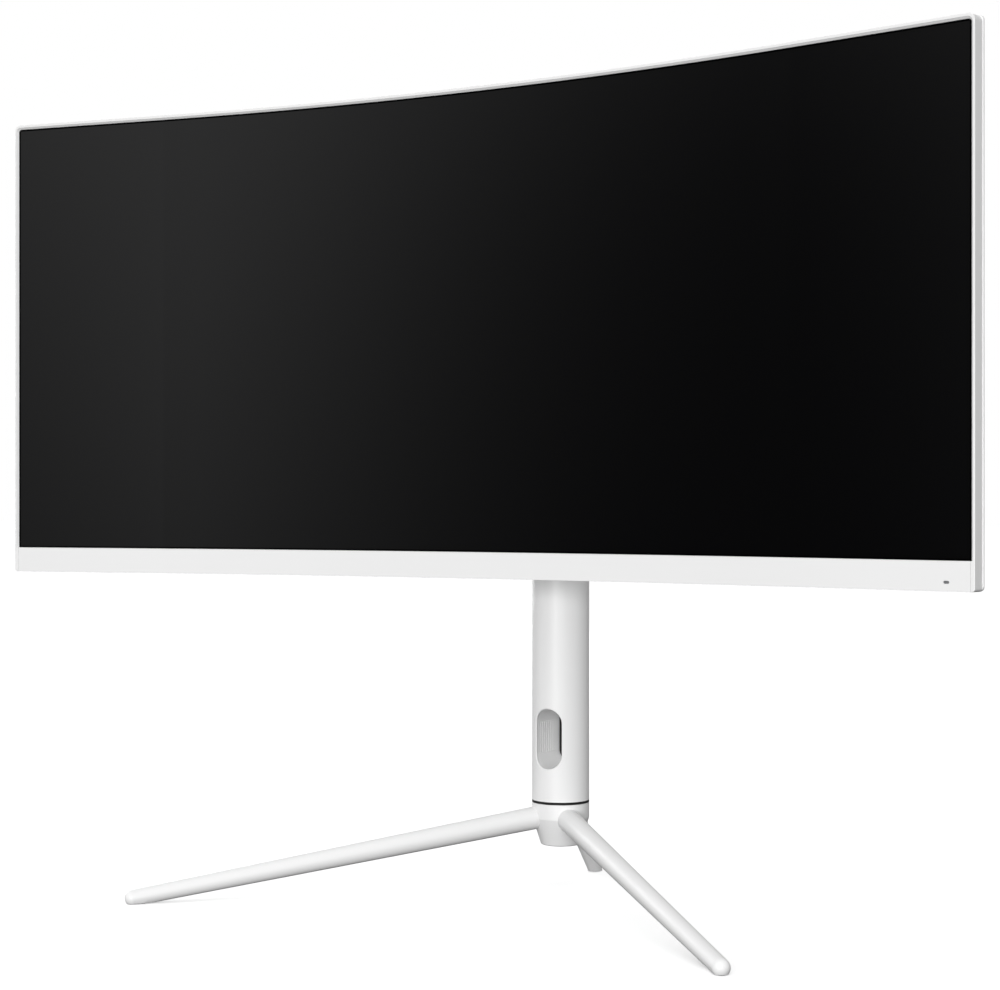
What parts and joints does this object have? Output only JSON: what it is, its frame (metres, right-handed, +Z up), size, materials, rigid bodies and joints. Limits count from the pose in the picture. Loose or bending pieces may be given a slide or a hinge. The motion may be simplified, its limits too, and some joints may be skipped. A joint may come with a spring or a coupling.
{
  "type": "computer monitor",
  "caption": "Curved ultrawide desk monitor, white, with a slim frame and chin, on a round column that tilts, turns and slides, carried by a hub with splayed legs.",
  "frame": {"origin": "on the desk, under the middle of the object's box", "axes": "the viewer sits at -Y and looks along +Y, +X is to the viewer's right, +Z is up"},
  "size_m": [0.7, 0.2734, 0.533],
  "materials": {
    "white_shell": "white moulded plastic, smooth satin gloss",
    "white_button": "white moulded plastic",
    "white_metal": "white paint, satin gloss",
    "tunnel_plastic": "white plastic with fine upright grooves",
    "black_plastic": "black, fine grain",
    "screen_glass": "black screen behind an anti-glare front film",
    "rubber": "grey, matt",
    "steel": "zinc plated",
    "spring_steel": "blued spring steel",
    "sheet_steel": "galvanised sheet",
    "cast_alloy": "as cast",
    "acetal": "natural",
    "brass_insert": "turned",
    "diffuser": "clear and milky sheets",
    "led_board": "white board with light sources",
    "circuit_board": "green solder resist",
    "socket_metal": "tin plated",
    "socket_plastic": "black",
    "light_lens": "smoke grey, unlit"
  },
  "bodies": {
    "base": {"base_hub": "white_metal", "front_leg_left": "white_metal", "front_leg_right": "white_metal", "rear_leg": "white_metal", "foot_pads": "rubber", "leg_grub_screws": "steel", "base_bolt": "steel", "swivel_spindle": "steel", "swivel_disc_spring": "spring_steel", "swivel_nut": "steel", "swivel_stop_pin": "steel"},
    "column": {"swivel_ring": "black_plastic", "swivel_housing": "cast_alloy", "swivel_bush": "acetal", "column_foot": "white_metal", "column_tube": "white_metal", "cable_tunnel": "tunnel_plastic", "cable_grommet": "black_plastic", "guide_rods": "steel", "rod_holder_lower": "cast_alloy", "rod_holder_upper": "cast_alloy", "drum_axle": "steel", "lift_spring_strip": "spring_steel", "column_cap": "white_metal"},
    "drum": {"spring_drum": "spring_steel"},
    "carriage": {"carriage": "cast_alloy", "carriage_bushes": "acetal", "tilt_yoke": "cast_alloy", "yoke_screws": "steel", "tilt_axle": "steel", "tilt_washers": "steel", "tilt_nut": "steel", "hinge_shroud": "white_shell"},
    "display": {"tilt_knuckle": "cast_alloy", "knuckle_screws": "steel", "release_plate": "black_plastic", "vesa_bracket": "sheet_steel", "vesa_inserts": "brass_insert", "rear_cover": "white_shell", "cover_screws": "steel", "panel_chassis": "sheet_steel", "optical_sheets": "diffuser", "light_guide": "diffuser", "led_bar": "led_board", "lcd_panel": "screen_glass", "bezel_frame": "white_shell", "chin_trim": "white_shell", "status_light": "light_lens", "main_board": "circuit_board", "power_board": "circuit_board", "tcon_board": "circuit_board", "video_sockets": "socket_metal", "audio_socket": "socket_plastic", "dc_socket": "socket_plastic", "button_board": "circuit_board"},
    "latch": {"release_latch": "black_plastic"},
    "power_button": {"button_power": "white_button"},
    "menu_button": {"button_menu": "white_button"},
    "down_button": {"button_down": "white_button"},
    "up_button": {"button_up": "white_button"}
  },
  "joints": [
    {"name": "swivel", "type": "hinge", "parent": "base", "child": "column", "pos_m": [0, 0.078, 0.0565], "axis": [0, 0, 1], "range_deg": [-25, 25]},
    {"name": "height_slide", "type": "slide", "parent": "column", "child": "carriage", "axis": [0, 0, 1], "range_m": [-0.11, 0], "deforming": ["lift_spring_strip"]},
    {"name": "drum_turn", "type": "hinge", "parent": "column", "child": "drum", "pos_m": [0, 0.079, 0.401], "axis": [1, 0, 0], "range_deg": [-575, 0]},
    {"name": "tilt", "type": "hinge", "parent": "carriage", "child": "display", "pos_m": [0, 0.03, 0.362], "axis": [-1, 0, 0], "range_deg": [-5, 20]},
    {"name": "latch_slide", "type": "slide", "parent": "display", "child": "latch", "axis": [0, 0, -1], "range_m": [0, 0.004], "stiffness_N_per_m": 300},
    {"name": "power_press", "type": "slide", "parent": "display", "child": "power_button", "axis": [0, 0, 1], "range_m": [0, 0.0006], "stiffness_N_per_m": 2000},
    {"name": "menu_press", "type": "slide", "parent": "display", "child": "menu_button", "axis": [0, 0, 1], "range_m": [0, 0.0006], "stiffness_N_per_m": 2000},
    {"name": "down_press", "type": "slide", "parent": "display", "child": "down_button", "axis": [0, 0, 1], "range_m": [0, 0.0006], "stiffness_N_per_m": 2000},
    {"name": "up_press", "type": "slide", "parent": "display", "child": "up_button", "axis": [0, 0, 1], "range_m": [0, 0.0006], "stiffness_N_per_m": 2000}
  ],
  "couplings": [
    {"joint": "drum_turn", "follows": "height_slide", "rad_per_m": 90.909}
  ]
}
